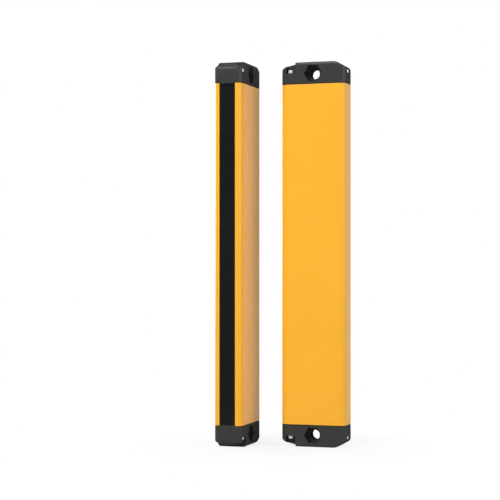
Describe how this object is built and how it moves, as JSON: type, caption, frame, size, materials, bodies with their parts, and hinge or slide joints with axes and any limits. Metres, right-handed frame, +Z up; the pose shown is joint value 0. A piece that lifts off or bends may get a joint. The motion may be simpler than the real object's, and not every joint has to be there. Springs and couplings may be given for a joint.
{
  "type": "safety light curtain",
  "caption": "Pair of upright light curtain bars, emitter and receiver: yellow aluminium profiles with a dark window strip and black end caps.",
  "frame": {"origin": "middle of the pair's footprint, on the ground", "axes": "+Z up along the bars; the emitter window faces -Y, the receiver window faces -X"},
  "size_m": [0.1046, 0.055, 0.3176],
  "materials": {
    "yellow_paint": "satin powder coat on extruded aluminium",
    "smoked_acrylic": "polished dark smoked acrylic",
    "black_rubber": "soft black rubber",
    "black_moulding": "fine-textured black glass-filled nylon",
    "screw_steel": "zinc-plated steel",
    "black_optics": "matt black moulding",
    "lens_clear": "infrared-passing clear acrylic",
    "board_green": "solder-masked glass-fibre board",
    "diode_body": "moulded diode bodies",
    "chip_black": "moulded packages",
    "module_black": "potted module case",
    "light_guide": "clear light guides",
    "socket_white": "nylon header",
    "lead_grey": "flat grey ribbon",
    "connector_nickel": "nickel-plated brass",
    "insert_black": "moulded insert",
    "pin_gold": "gold-plated contacts"
  },
  "bodies": {
    "root": {"emitter_housing": "yellow_paint", "emitter_window": "smoked_acrylic", "emitter_window_seals": "black_rubber", "emitter_bottom_gasket": "black_rubber", "emitter_top_gasket": "black_rubber", "emitter_bottom_cap": "black_moulding", "emitter_top_cap": "black_moulding", "emitter_bottom_cap_screws": "screw_steel", "emitter_top_cap_screws": "screw_steel", "emitter_optics_carrier": "black_optics", "emitter_circuit_board": "board_green", "emitter_diodes": "diode_body", "emitter_control_chips": "chip_black", "emitter_power_module": "module_black", "emitter_status_lights": "light_guide", "emitter_board_socket": "socket_white", "emitter_inner_lead": "lead_grey", "emitter_connector_shell": "connector_nickel", "emitter_connector_insert": "insert_black", "emitter_connector_pins": "pin_gold", "emitter_lens_strip_lower": "lens_clear", "emitter_lens_strip_middle": "lens_clear", "emitter_lens_strip_upper": "lens_clear", "receiver_housing": "yellow_paint", "receiver_window": "smoked_acrylic", "receiver_window_seals": "black_rubber", "receiver_bottom_gasket": "black_rubber", "receiver_top_gasket": "black_rubber", "receiver_bottom_cap": "black_moulding", "receiver_top_cap": "black_moulding", "receiver_bottom_cap_screws": "screw_steel", "receiver_top_cap_screws": "screw_steel", "receiver_optics_carrier": "black_optics", "receiver_circuit_board": "board_green", "receiver_diodes": "diode_body", "receiver_control_chips": "chip_black", "receiver_power_module": "module_black", "receiver_status_lights": "light_guide", "receiver_board_socket": "socket_white", "receiver_inner_lead": "lead_grey", "receiver_connector_shell": "connector_nickel", "receiver_connector_insert": "insert_black", "receiver_connector_pins": "pin_gold", "receiver_lens_strip_lower": "lens_clear", "receiver_lens_strip_middle": "lens_clear", "receiver_lens_strip_upper": "lens_clear"}
  },
  "joints": []
}
